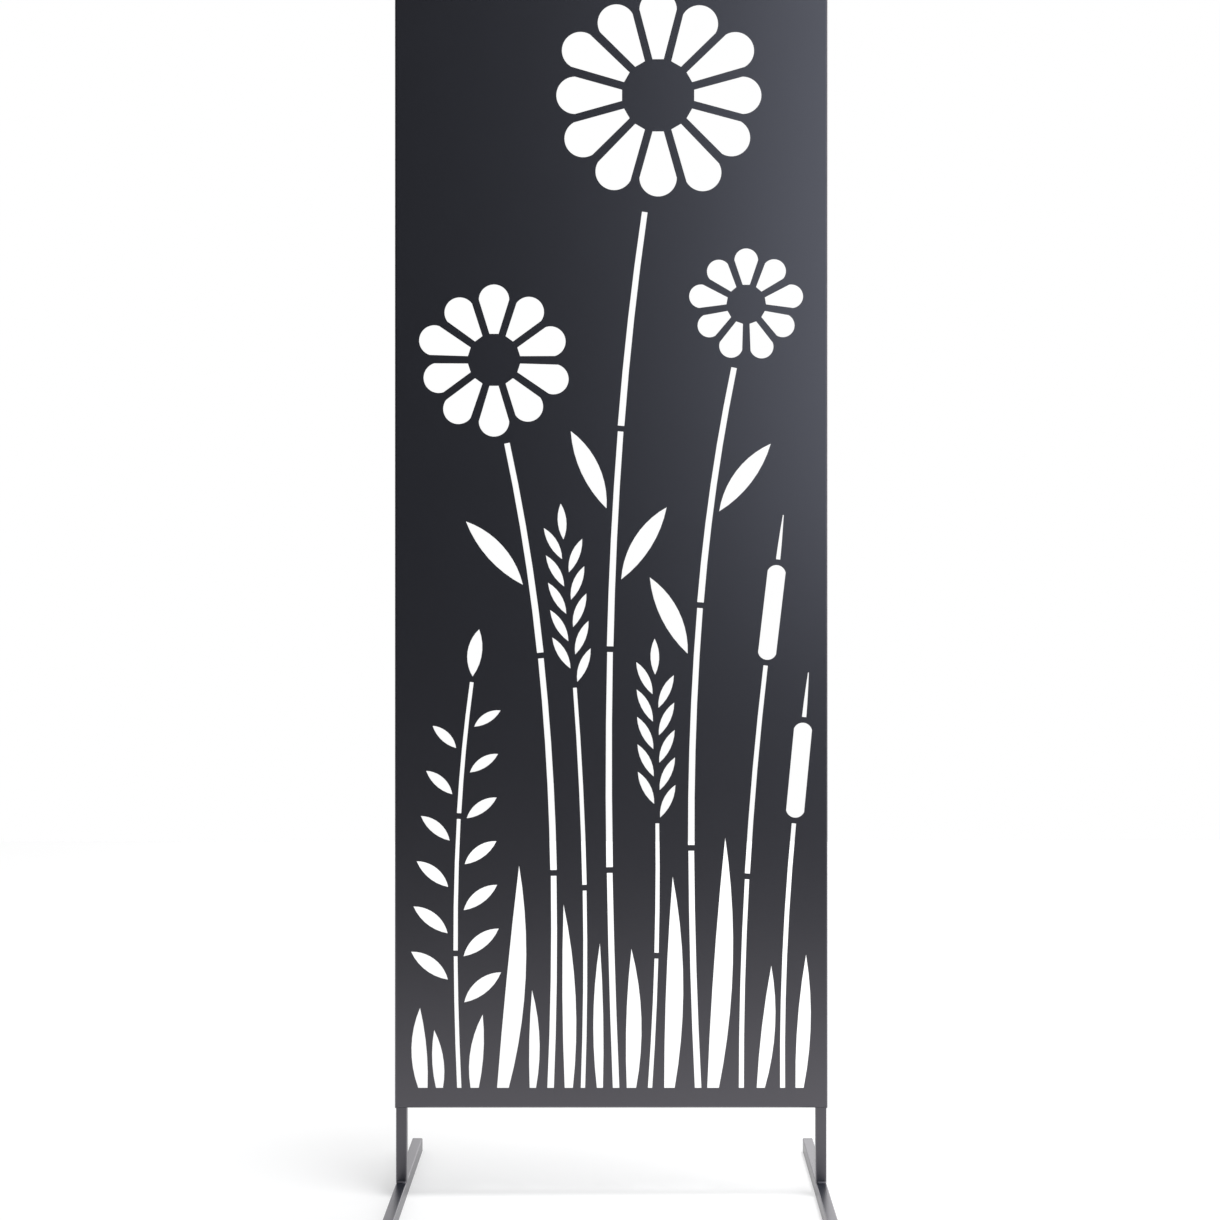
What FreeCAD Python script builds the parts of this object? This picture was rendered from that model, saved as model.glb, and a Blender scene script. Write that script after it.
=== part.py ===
"""A free-standing garden screen: a folded steel panel with a cut-out meadow, on legs with cross feet.

Millimetres. +Z is up and the panel's face looks along -Y. The origin is on the ground, midway between
the feet.
"""

import FreeCAD, Part

import math
import os

import Sketcher

Vector = FreeCAD.Vector
ACROSS = Vector(1, 0, 0)
BACK = Vector(0, 1, 0)
UP = Vector(0, 0, 1)

# Driving dimensions, one row each: alias, value, meaning. Lengths are millimetres and the others are counts.
SIZE_ROWS = (
    ("overall_height", 1800, "ground to the panel's upper edge"),
    ("panel_width", 600, "outside width of the folded panel"),
    ("ground_gap", 125, "ground to the panel's lower edge"),
    ("sheet_thickness", 1, "cold-rolled steel sheet of the panel"),
    ("bend_radius", 2, "inside radius of every fold"),
    ("hem_flat", 0.3, "flat of an end fold where it stays a hem in front of the legs"),
    ("relief_width", 1, "slot beside each end fold that lets the sheet bend"),
    ("relief_height", 0, "how far that slot runs past the bend"),
    ("post_size", 15, "outside of the square leg tube"),
    ("post_wall", 1.2, "wall of the leg tube"),
    ("post_rise", 560, "length of leg tube inside the panel's side channel"),
    ("post_front_gap", 0.3, "leg tube to the hem in front of it"),
    ("post_side_gap", 0.3, "leg tube to the inside of the panel's side"),
    ("lip_overlap", 0.7, "how far the panel's rear lip reaches past the leg tube"),
    ("tube_corner", 1.5, "outside corner radius of the tubes"),
    ("foot_length", 400, "cross foot over its end caps"),
    ("foot_width", 15, "outside width of the foot tube"),
    ("foot_height", 20, "outside height of the foot tube"),
    ("foot_wall", 1.2, "wall of the foot tube"),
    ("weld_size", 3, "leg of the fillet weld between post and foot"),
    ("cap_head", 3, "thickness of an end cap outside its tube"),
    ("cap_bevel", 1, "bevel round an end cap's outer face"),
    ("cap_plug", 14, "depth of an end cap inside its tube"),
    ("cap_shell", 1.4, "wall of the hollow plug"),
    ("cap_grip", 0.1, "gap between the plug's fins and the tube"),
    ("cap_fin", 1, "thickness of one fin"),
    ("cap_fin_rise", 0.7, "height of a fin over the plug"),
    ("cap_fin_count", 3, "fins along the plug"),
    ("screw_count", 2, "screws that hold each leg"),
    ("screw_first", 60, "panel's lower edge to the lowest screw"),
    ("screw_pitch", 440, "spacing of the screws"),
    ("screw_radius", 2.5, "screw shank"),
    ("screw_length", 12, "screw under its head"),
    ("screw_head_flats", 8, "across the flats of the hexagon head"),
    ("screw_head_height", 3.5, "hexagon head"),
    ("screw_hole_gap", 0.25, "screw to the hole in the panel's lip"),
    ("washer_radius", 5, "outside of the flat washer"),
    ("washer_thickness", 1, "flat washer"),
    ("washer_gap", 0.15, "screw to the washer's bore"),
    ("rivet_rim_radius", 5, "rim of the rivet nut, outside the tube"),
    ("rivet_rim_thickness", 0.6, "rim of the rivet nut"),
    ("rivet_barrel_flats", 7, "across the flats of the rivet nut where it passes the tube wall"),
    ("rivet_hole_gap", 0.05, "rivet nut to its hole in the tube wall"),
    ("rivet_fold_flats", 8.4, "across the flats of the fold behind the tube wall"),
    ("rivet_fold_length", 2.4, "fold of the rivet nut behind the tube wall"),
    ("rivet_length", 9.5, "rivet nut under its rim"),
    ("thread_gap", 0.05, "screw to the rivet nut's bore"),
    ("art_side_margin", 20, "panel's side to the cut-out drawing"),
    ("art_bottom_margin", 28, "panel's lower edge to the drawing's ground line"),
    ("art_top_margin", 107, "panel's upper edge to the top of the drawing"),
    ("bridge", 8, "sheet left standing between neighbouring cut-outs"),
    ("flower_stem_width", 9, "cut-out stem of a daisy"),
    ("twig_width", 6, "cut-out stem of the leafy twig and the wheat"),
    ("reed_stem_width", 7, "cut-out stem of a bulrush"),
    ("blade_width", 26, "widest blade of grass"),
    ("large_head_radius", 150, "daisy, centre to petal tips"),
    ("large_disc_radius", 50, "uncut disc of that daisy"),
    ("large_petal_count", 12, "petals of that daisy"),
    ("medium_head_radius", 108, "daisy, centre to petal tips"),
    ("medium_disc_radius", 36, "uncut disc of that daisy"),
    ("medium_petal_count", 10, "petals of that daisy"),
    ("small_head_radius", 80, "daisy, centre to petal tips"),
    ("small_disc_radius", 27, "uncut disc of that daisy"),
    ("small_petal_count", 9, "petals of that daisy"),
    ("stem_leaf_length", 118, "leaf on a daisy's stem"),
    ("stem_leaf_width", 26, "leaf on a daisy's stem"),
    ("twig_leaf_length", 66, "leaf of the twig"),
    ("twig_leaf_width", 20, "leaf of the twig"),
    ("twig_leaf_pitch", 64, "spacing of the leaves along one side of the twig"),
    ("grain_length", 50, "grain of a wheat ear"),
    ("grain_width", 12, "grain of a wheat ear"),
    ("grain_pitch", 38, "spacing of the grains along one side of an ear"),
    ("grain_count", 5, "grains along one side of an ear"),
    ("reed_head_length", 132, "thick head of a bulrush"),
    ("reed_head_width", 25, "thick head of a bulrush"),
    ("reed_dome_height", 9, "rounding of either end of that head"),
    ("reed_spike_length", 62, "spike over the head of a bulrush"),
    ("reed_spike_width", 6, "foot of that spike"),
    ("cut_overrun", 1, "how far a cut runs past the metal that it cuts"),
)

doc = FreeCAD.newDocument("garden_screen")


def make_sheet():
    """Fills the spreadsheet with the driving dimensions."""
    sheet = doc.addObject("Spreadsheet::Sheet", "Sizes")
    for row, (alias, value, meaning) in enumerate(SIZE_ROWS, 1):
        sheet.set(f"A{row}", alias)
        sheet.set(f"B{row}", str(value))
        sheet.setAlias(f"B{row}", alias)
        sheet.set(f"C{row}", meaning)
    doc.recompute()
    return sheet


sizes = make_sheet()


def number(expression):
    """The number that an expression of the sheet's cells gives."""
    return float(sizes.evalExpression(expression))


def size(alias):
    """A driving dimension's number."""
    return number(f"Sizes.{alias}")


# Lengths that follow from the driving dimensions, as expressions of the sheet's cells.
PANEL_HEIGHT = "(Sizes.overall_height - Sizes.ground_gap)"
OUTER_BEND = "(Sizes.bend_radius + Sizes.sheet_thickness)"
HEM_DEPTH = f"({OUTER_BEND} + Sizes.hem_flat)"
HEM_HALF = f"(Sizes.panel_width / 2 - {OUTER_BEND} - Sizes.relief_width)"
RELIEF_TOP = f"({OUTER_BEND} + Sizes.relief_height)"
TRAY_FRONT = f"(Sizes.post_size / 2 + Sizes.post_front_gap + {HEM_DEPTH})"
TRAY_BACK = "(Sizes.post_size / 2 + Sizes.rivet_rim_thickness + Sizes.sheet_thickness)"
TRAY_DEPTH = f"({TRAY_FRONT} + {TRAY_BACK})"
LIP_REACH = "(Sizes.sheet_thickness + Sizes.post_side_gap + Sizes.post_size + Sizes.lip_overlap)"
FLANGE_HALF = f"(Sizes.panel_width / 2 - {LIP_REACH} - Sizes.relief_width / 2)"
SHEET_CUT = "(Sizes.sheet_thickness + Sizes.cut_overrun)"
POST_X = "(Sizes.panel_width / 2 - Sizes.sheet_thickness - Sizes.post_side_gap - Sizes.post_size / 2)"
POST_LENGTH = "(Sizes.ground_gap - Sizes.foot_height + Sizes.post_rise)"
FOOT_TUBE_LENGTH = "(Sizes.foot_length - 2 * Sizes.cap_head)"
SCREW_SPAN = "(Sizes.screw_pitch * (Sizes.screw_count - 1))"

SIDES = (("left", -1), ("right", 1))

# Two edges or points count as being in the same place within this distance.
SAME_PLACE = size("sheet_thickness") / 10
PARALLEL_COSINE = math.cos(math.radians(1))


# Bodies, sketches and features

def new_body(label):
    """An empty body that is named for its piece."""
    body = doc.addObject("PartDesign::Body", label)
    body.Label = label
    return body


def origin_feature(body, role):
    """One of a body's own origin planes, such as XY_Plane, or axes, such as Z_Axis."""
    return next(feature for feature in body.Origin.OriginFeatures if feature.Role == role)


def new_sketch(body, name, role, x="0", y="0", z="0"):
    """A sketch on an origin plane, shifted in the plane by x and y and along its normal by z."""
    sketch = body.newObject("Sketcher::SketchObject", name)
    sketch.AttachmentSupport = (origin_feature(body, role), [""])
    sketch.MapMode = "FlatFace"
    for axis, shift in zip("xyz", (x, y, z)):
        sketch.setExpression(f"AttachmentOffset.Base.{axis}", shift)
    return sketch


def bind(sketch, constraint, expression):
    """Adds a dimension to a sketch and ties it to the sheet."""
    index = sketch.addConstraint(constraint)
    sketch.setExpression(f"Constraints[{index}]", expression)


def draw_rectangle(sketch, width, height):
    """A rectangle about the sketch's origin, with its two sides tied to the sheet."""
    corners = [Vector(x, y, 0) for x, y in ((-1, -1), (1, -1), (1, 1), (-1, 1))]
    edges = [Part.LineSegment(corners[i - 1], corners[i]) for i in range(len(corners))]
    left, lower, right, upper = sketch.addGeometry(edges)
    for here, following in ((lower, right), (right, upper), (upper, left), (left, lower)):
        sketch.addConstraint(Sketcher.Constraint("Coincident", here, 2, following, 1))
    for level in (lower, upper):
        sketch.addConstraint(Sketcher.Constraint("Horizontal", level))
    for upright in (right, left):
        sketch.addConstraint(Sketcher.Constraint("Vertical", upright))
    sketch.addConstraint(Sketcher.Constraint("Symmetric", lower, 1, upper, 1, -1, 1))
    bind(sketch, Sketcher.Constraint("DistanceX", lower, 1, lower, 2, 2), width)
    bind(sketch, Sketcher.Constraint("DistanceY", right, 1, right, 2, 2), height)


def draw_circle(sketch, radius):
    """A circle about the sketch's origin, with its radius tied to the sheet."""
    circle = sketch.addGeometry(Part.Circle(Vector(0, 0, 0), UP, 1))
    sketch.addConstraint(Sketcher.Constraint("Coincident", circle, 3, -1, 1))
    bind(sketch, Sketcher.Constraint("Radius", circle, 1), radius)
    return circle


def draw_hexagon(sketch, across_flats):
    """A hexagon about the sketch's origin, held by the circle through its corners."""
    guide = draw_circle(sketch, f"{across_flats} / sqrt(3)")
    sketch.setConstruction(guide, True)
    corners = [Vector(math.cos(turn), math.sin(turn), 0) for turn in (i * math.pi / 3 for i in range(6))]
    edges = sketch.addGeometry([Part.LineSegment(corners[i - 1], corners[i]) for i in range(len(corners))])
    for i, edge in enumerate(edges):
        sketch.addConstraint(Sketcher.Constraint("Coincident", edges[i - 1], 2, edge, 1))
        sketch.addConstraint(Sketcher.Constraint("PointOnObject", edge, 1, guide))
        if i:
            sketch.addConstraint(Sketcher.Constraint("Equal", edges[0], edge))
    sketch.addConstraint(Sketcher.Constraint("PointOnObject", edges[0], 2, -1))


def extrude(body, kind, sketch, length, along_normal=None, both_ways=False):
    """A Pad along the sketch's normal or a Pocket against it, unless along_normal says otherwise."""
    feature = body.newObject(f"PartDesign::{kind}", f"{sketch.Name}_{kind}")
    feature.Profile = sketch
    feature.setExpression("Length", length)
    if along_normal is not None:
        feature.Reversed = along_normal != (kind == "Pad")
    feature.Midplane = both_ways
    doc.recompute()
    return feature


def dress(body, kind, name, measure, amount, wanted):
    """A feature such as a Fillet on the edges of the body's last feature that wanted picks out."""
    base = body.Tip
    edges = [f"Edge{i}" for i, edge in enumerate(base.Shape.Edges, 1) if wanted(edge)]
    feature = body.newObject(f"PartDesign::{kind}", name)
    feature.Base = (base, edges)
    feature.setExpression(measure, amount)
    doc.recompute()
    return feature


def fillet(body, name, radius, wanted):
    """Rounds the edges that wanted picks out, and those that run on smoothly from them."""
    return dress(body, "Fillet", name, "Radius", radius, wanted)


def chamfer(body, name, width, wanted):
    """Bevels the edges that wanted picks out, and those that run on smoothly from them."""
    return dress(body, "Chamfer", name, "Size", width, wanted)


def row_of(body, feature, name, axis, span, count):
    """Repeats a feature in a line along one of the body's axes."""
    pattern = body.newObject("PartDesign::LinearPattern", name)
    pattern.Originals = [feature]
    pattern.Direction = (origin_feature(body, axis), [""])
    pattern.setExpression("Length", span)
    pattern.setExpression("Occurrences", count)
    body.Tip = pattern
    doc.recompute()
    return pattern


def move(body, x="0", y="0", z="0"):
    """Ties a body's place to the sheet."""
    for axis, shift in zip("xyz", (x, y, z)):
        body.setExpression(f"Placement.Base.{axis}", shift)


def both(expression):
    """The two places that lie this far to either side of the origin."""
    return -number(expression), number(expression)


def edges_at(direction, **allowed):
    """Picks straight edges along a direction, with their middles at the allowed places on each axis."""
    def wanted(edge):
        if not isinstance(edge.Curve, Part.Line):
            return False
        middle = edge.CenterOfMass
        in_place = all(
            any(abs(getattr(middle, axis) - place) < SAME_PLACE for place in places)
            for axis, places in allowed.items()
        )
        return in_place and abs(edge.tangentAt(edge.FirstParameter).dot(direction)) > PARALLEL_COSINE
    return wanted


def edges_level_at(height):
    """Picks the edges whose ends all lie at a height, such as those round a body's upper face."""
    def wanted(edge):
        return all(abs(vertex.Z - height) < SAME_PLACE for vertex in edge.Vertexes)
    return wanted


# The cut-out drawing. Its places are shares of the drawing's own width and height, from the middle of its
# ground line, and its sizes are cells of the sheet.

ART_WIDTH = number("Sizes.panel_width - 2 * Sizes.art_side_margin")
ART_HEIGHT = number(f"{PANEL_HEIGHT} - Sizes.art_bottom_margin - Sizes.art_top_margin")


def art_point(place_shares):
    """A place in the drawing as a point of the sketch."""
    across_share, up_share = place_shares
    return Vector(across_share * ART_WIDTH, size("art_bottom_margin") + up_share * ART_HEIGHT, 0)


def left_of(direction):
    """The direction in the sketch that lies square to the left of another."""
    return Vector(-direction.y, direction.x, 0)


def turned(direction, degrees):
    """A direction in the sketch, turned to the left."""
    angle = math.radians(degrees)
    return direction * math.cos(angle) + left_of(direction) * math.sin(angle)


def spine_through(spine_shares):
    """The smooth middle line of a stem or a blade."""
    spine = Part.BSplineCurve()
    spine.interpolate([art_point(place_shares) for place_shares in spine_shares])
    return spine


def spine_frame(spine, distance):
    """A point on a spine, its direction there and the direction to its left."""
    place = spine.parameterAtDistance(distance)
    along = spine.tangent(place)[0]
    return spine.value(place), along, left_of(along)


def draw_bow(sketch, foot, middle, end):
    """An arc through three points, or a straight edge where they lie in line."""
    bow = middle.distanceToLine(foot, end - foot)
    sketch.addGeometry(Part.Arc(foot, middle, end) if bow > SAME_PLACE else Part.LineSegment(foot, end))


# Widths of a stem, a blade and a spike at the foot, the middle and the end.
STEM_WIDTH_SHARES = (1.0, 0.93, 0.86)
BLADE_WIDTH_SHARES = (0.62, 1.0, 0.0)
SPIKE_WIDTH_SHARES = (1.0, 0.7, 0.2)


def draw_ribbon(sketch, spine, width, width_shares, start, end, level_foot=False):
    """A stem or blade round a spine, from one distance along it to another, as wide as the shares say."""
    left_side, right_side = [], []
    for distance, width_share in zip((start, (start + end) / 2, end), width_shares):
        point, along, left = spine_frame(spine, distance)
        if level_foot and distance == start:
            left = -ACROSS
        half = left * (width * width_share / 2)
        left_side.append(point + half)
        right_side.append(point - half)
    draw_bow(sketch, *left_side)
    draw_bow(sketch, *right_side)
    for corner, other_corner in ((left_side[0], right_side[0]), (left_side[-1], right_side[-1])):
        if corner != other_corner:
            sketch.addGeometry(Part.LineSegment(corner, other_corner))


def draw_stem(sketch, spine, width, slot_count):
    """A stem that stands on the ground line, cut as several slots with a bridge of sheet between them."""
    slot = (spine.length() - size("bridge") * (slot_count - 1)) / slot_count
    for place in range(slot_count):
        start = place * (slot + size("bridge"))
        draw_ribbon(sketch, spine, width, STEM_WIDTH_SHARES, start, start + slot, level_foot=place == 0)


def draw_leaf(sketch, foot, direction, length, width, belly_share):
    """A pointed leaf between two arcs. The belly share is the part of its width that lies to its left."""
    tip = foot + direction * length
    middle = foot + direction * (length / 2)
    left = left_of(direction)
    sketch.addGeometry(Part.Arc(foot, middle + left * (width * belly_share), tip))
    sketch.addGeometry(Part.Arc(tip, middle - left * (width * (1 - belly_share)), foot))


def belly_on(side, belly_share):
    """A leaf's belly share, turned over for a leaf on the other side of its stem."""
    return belly_share if side < 0 else 1 - belly_share


# A petal's foot as a share of its width, the most that one is shorter than another, and the turn of the
# sine wave that makes them uneven.
PETAL_FOOT_SHARE = 0.3
PETAL_SHORTENING_SHARE = 0.1
PETAL_RHYTHM = 2.4

# The daisies: name in the sheet, centre of the head, spine of the stem from the ground up, slots in it.
DAISY_SHARES = (
    ("large", (0.116, 0.893), ((0.012, 0.0), (-0.006, 0.27), (0.012, 0.53), (0.083, 0.788)), 4),
    ("medium", (-0.29, 0.655), ((-0.15, 0.0), (-0.143, 0.2), (-0.178, 0.4), (-0.258, 0.58)), 3),
    ("small", (0.334, 0.705), ((0.215, 0.0), (0.198, 0.22), (0.224, 0.45), (0.304, 0.648)), 3),
)

# Leaves on the daisies' stems: daisy, share of the stem's length, side of the stem, angle to the stem.
STEM_LEAF_SHARES = (
    ("large", 0.66, 1, 28),
    ("large", 0.58, -1, 30),
    ("medium", 0.78, 1, 34),
    ("small", 0.6, 1, 30),
    ("small", 0.8, -1, 30),
)
LEAF_BELLY_SHARE = 0.58


def draw_petal(sketch, foot, along, length, half_width):
    """A petal with a narrow foot, two straight sides and a half-round tip."""
    belly = foot + along * (length - half_width)
    out = left_of(along) * half_width
    foot_out = out * PETAL_FOOT_SHARE
    sketch.addGeometry(Part.LineSegment(foot - foot_out, foot + foot_out))
    sketch.addGeometry(Part.LineSegment(foot + foot_out, belly + out))
    sketch.addGeometry(Part.Arc(belly + out, foot + along * length, belly - out))
    sketch.addGeometry(Part.LineSegment(belly - out, foot - foot_out))


def draw_daisy_head(sketch, name, centre):
    """A ring of petals round an uncut disc, with a bridge between the bellies of the shortest petals."""
    disc_radius = size(f"{name}_disc_radius")
    petal_count = int(size(f"{name}_petal_count"))
    full_length = size(f"{name}_head_radius") - disc_radius
    shortest_reach = disc_radius + full_length * (1 - PETAL_SHORTENING_SHARE)
    half_turn = math.pi / petal_count
    half_width = (half_turn * shortest_reach - size("bridge") / 2) / (1 + half_turn)
    for petal in range(petal_count):
        shortening_share = PETAL_SHORTENING_SHARE * (1 + math.sin(PETAL_RHYTHM * petal)) / 2
        along = turned(Vector(0, 1, 0), petal * 360 / petal_count)
        foot = centre + along * disc_radius
        draw_petal(sketch, foot, along, full_length * (1 - shortening_share), half_width)


def draw_daisies(sketch):
    """The daisies' heads, stems and stem leaves."""
    spines = {}
    for name, centre_shares, spine_shares, slot_count in DAISY_SHARES:
        spines[name] = spine_through(spine_shares)
        draw_daisy_head(sketch, name, art_point(centre_shares))
        draw_stem(sketch, spines[name], size("flower_stem_width"), slot_count)
    clear = size("flower_stem_width") / 2 + size("bridge")
    for name, height_share, side, angle in STEM_LEAF_SHARES:
        point, along, left = spine_frame(spines[name], spines[name].length() * height_share)
        foot = point + left * (side * clear)
        belly_share = belly_on(side, LEAF_BELLY_SHARE)
        direction = turned(along, side * angle)
        draw_leaf(sketch, foot, direction, size("stem_leaf_length"), size("stem_leaf_width"), belly_share)


TWIG_SPINE_SHARES = ((-0.376, 0.0), (-0.385, 0.12), (-0.376, 0.25), (-0.345, 0.365))
TWIG_FIRST_LEAF_SHARE = 0.21
TWIG_SLOT_COUNT = 3
TWIG_LEAF_ANGLE = 52
TWIG_TAPER_SHARE = 0.38


def draw_twig(sketch):
    """A leafy twig: leaves by turns on its left and right, shorter towards the tip, and one at the tip."""
    spine = spine_through(TWIG_SPINE_SHARES)
    draw_stem(sketch, spine, size("twig_width"), TWIG_SLOT_COUNT)
    clear = size("twig_width") / 2 + size("bridge")
    first = spine.length() * TWIG_FIRST_LEAF_SHARE
    step = size("twig_leaf_pitch") / 2
    leaf_count = int((spine.length() - first) / step)
    for leaf in range(leaf_count):
        side = 1 if leaf % 2 else -1
        scale = 1 - TWIG_TAPER_SHARE * leaf / leaf_count
        length = size("twig_leaf_length") * scale
        width = size("twig_leaf_width") * scale
        point, along, left = spine_frame(spine, first + leaf * step)
        foot = point + left * (side * clear)
        direction = turned(along, side * TWIG_LEAF_ANGLE)
        draw_leaf(sketch, foot, direction, length, width, belly_on(side, LEAF_BELLY_SHARE))
    tip, along, left = spine_frame(spine, spine.length())
    foot = tip + along * size("bridge")
    draw_leaf(sketch, foot, along, size("twig_leaf_length"), size("twig_leaf_width"), LEAF_BELLY_SHARE)


# The wheat: spine of each straw from the ground to the foot of its ear, slots in the straw.
WHEAT_SHARES = (
    (((-0.07, 0.0), (-0.066, 0.18), (-0.09, 0.36)), 2),
    (((0.096, 0.0), (0.112, 0.12), (0.114, 0.238)), 2),
)
GRAIN_ANGLE = 26
GRAIN_BELLY_SHARE = 0.55


def draw_wheat(sketch):
    """Ears of wheat: two rows of grains along the straw's last direction, and one grain at the tip."""
    grain = size("grain_length"), size("grain_width")
    grain_count = int(size("grain_count"))
    for spine_shares, slot_count in WHEAT_SHARES:
        straw = spine_through(spine_shares)
        draw_stem(sketch, straw, size("twig_width"), slot_count)
        top, along, left = spine_frame(straw, straw.length())
        ear = top + along * size("bridge")
        for place in range(grain_count):
            for side in (-1, 1):
                step = size("grain_pitch") * (place + (1 + side) / 4)
                foot = ear + along * step + left * (side * size("bridge") / 2)
                direction = turned(along, side * GRAIN_ANGLE)
                draw_leaf(sketch, foot, direction, *grain, belly_on(side, GRAIN_BELLY_SHARE))
        tip = ear + along * (size("grain_pitch") * grain_count + size("bridge"))
        draw_leaf(sketch, tip, along, *grain, 1 / 2)


# The bulrushes: spine of each stem from the ground to the foot of its head, slots in the stem.
REED_SHARES = (
    (((0.322, 0.0), (0.338, 0.2), (0.382, 0.38)), 2),
    (((0.424, 0.0), (0.43, 0.125), (0.452, 0.238)), 1),
)


def draw_reeds(sketch):
    """Bulrushes: a blunt head over each stem, and a thin spike over the head."""
    for spine_shares, slot_count in REED_SHARES:
        stem = spine_through(spine_shares)
        draw_stem(sketch, stem, size("reed_stem_width"), slot_count)
        top, along, left = spine_frame(stem, stem.length())
        dome = along * size("reed_dome_height")
        side = left * (size("reed_head_width") / 2)
        lower = top + along * size("bridge") + dome
        upper = top + along * (size("bridge") + size("reed_head_length")) - dome
        sketch.addGeometry(Part.LineSegment(lower + side, upper + side))
        sketch.addGeometry(Part.Arc(upper + side, upper + dome, upper - side))
        sketch.addGeometry(Part.LineSegment(upper - side, lower - side))
        sketch.addGeometry(Part.Arc(lower - side, lower - dome, lower + side))
        spike = Part.BSplineCurve()
        spike_foot = upper + dome + along * size("bridge")
        spike.interpolate([spike_foot, spike_foot + along * size("reed_spike_length")])
        draw_ribbon(sketch, spike, size("reed_spike_width"), SPIKE_WIDTH_SHARES, 0, spike.length())


# Blades of grass along the ground line: spine from the ground to the tip, share of the widest blade's width.
BLADE_SHARES = (
    (((-0.466, 0.0), (-0.475, 0.03), (-0.473, 0.072)), 0.8),
    (((-0.425, 0.0), (-0.429, 0.025), (-0.438, 0.052)), 0.6),
    (((-0.338, 0.0), (-0.333, 0.03), (-0.318, 0.066)), 0.7),
    (((-0.268, 0.0), (-0.237, 0.09), (-0.228, 0.2)), 1.0),
    (((-0.194, 0.0), (-0.19, 0.04), (-0.196, 0.088)), 0.54),
    (((-0.105, 0.0), (-0.104, 0.075), (-0.118, 0.165)), 0.7),
    (((-0.028, 0.0), (-0.032, 0.06), (-0.028, 0.13)), 0.52),
    (((0.05, 0.0), (0.056, 0.06), (0.05, 0.125)), 0.8),
    (((0.144, 0.0), (0.157, 0.09), (0.152, 0.19)), 0.9),
    (((0.252, 0.0), (0.276, 0.1), (0.282, 0.225)), 1.0),
    (((0.37, 0.0), (0.388, 0.05), (0.396, 0.11)), 0.7),
    (((0.466, 0.0), (0.476, 0.05), (0.482, 0.12)), 0.7),
)


def draw_grass(sketch):
    """Blades that stand on the ground line and run out to a point."""
    for spine_shares, width_share in BLADE_SHARES:
        spine = spine_through(spine_shares)
        width = size("blade_width") * width_share
        draw_ribbon(sketch, spine, width, BLADE_WIDTH_SHARES, 0, spine.length(), level_foot=True)


# The folded panel

def fold_sides(body):
    """The sheet's section all the way up: face, two sides and two rear lips, with a bend at every corner."""
    outside = new_sketch(body, "outside", "XY_Plane")
    draw_rectangle(outside, "Sizes.panel_width", TRAY_DEPTH)
    extrude(body, "Pad", outside, PANEL_HEIGHT)
    outer_corners = edges_at(UP, x=both("Sizes.panel_width / 2"), y=both(f"{TRAY_DEPTH} / 2"))
    fillet(body, "outer_bends", OUTER_BEND, outer_corners)

    inner_width = "(Sizes.panel_width - 2 * Sizes.sheet_thickness)"
    inner_depth = f"({TRAY_DEPTH} - 2 * Sizes.sheet_thickness)"
    hollow = new_sketch(body, "hollow", "XY_Plane")
    draw_rectangle(hollow, inner_width, inner_depth)
    extrude(body, "Pocket", hollow, PANEL_HEIGHT, along_normal=True)
    inner_corners = edges_at(UP, x=both(f"{inner_width} / 2"), y=both(f"{inner_depth} / 2"))
    fillet(body, "inner_bends", "Sizes.bend_radius", inner_corners)

    mouth = new_sketch(body, "rear_mouth", "XY_Plane", y=f"{TRAY_DEPTH} / 2")
    draw_rectangle(mouth, f"Sizes.panel_width - 2 * {LIP_REACH}", f"2 * {SHEET_CUT}")
    extrude(body, "Pocket", mouth, PANEL_HEIGHT, along_normal=True)


def fold_end(body, name, height, along_normal):
    """One end of the panel, folded back: a full flange between the side channels and a hem across them."""
    flange = new_sketch(body, f"{name}_flange", "XY_Plane", z=height)
    draw_rectangle(flange, f"2 * {FLANGE_HALF}", TRAY_DEPTH)
    extrude(body, "Pad", flange, "Sizes.sheet_thickness", along_normal=along_normal)
    hem = new_sketch(body, f"{name}_hem", "XY_Plane", y=f"({HEM_DEPTH} - {TRAY_DEPTH}) / 2", z=height)
    draw_rectangle(hem, f"2 * {HEM_HALF}", HEM_DEPTH)
    extrude(body, "Pad", hem, "Sizes.sheet_thickness", along_normal=along_normal)
    for side, sign in SIDES:
        slot_x = f"{sign} * ({HEM_HALF} + Sizes.relief_width / 2)"
        slot = new_sketch(body, f"{name}_{side}_relief", "XZ_Plane", slot_x, height, f"{TRAY_DEPTH} / 2")
        draw_rectangle(slot, "Sizes.relief_width", f"2 * {RELIEF_TOP}")
        extrude(body, "Pocket", slot, SHEET_CUT)
    inward = 1 if along_normal else -1
    face_outside = -number(f"{TRAY_DEPTH} / 2")
    face_inside = face_outside + size("sheet_thickness")
    flange_outside = number(height)
    flange_inside = flange_outside + inward * size("sheet_thickness")
    outer_corner = edges_at(ACROSS, x=[0], y=[face_outside], z=[flange_outside])
    fillet(body, f"{name}_outer_bend", OUTER_BEND, outer_corner)
    inner_corner = edges_at(ACROSS, x=[0], y=[face_inside], z=[flange_inside])
    fillet(body, f"{name}_inner_bend", "Sizes.bend_radius", inner_corner)


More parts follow.
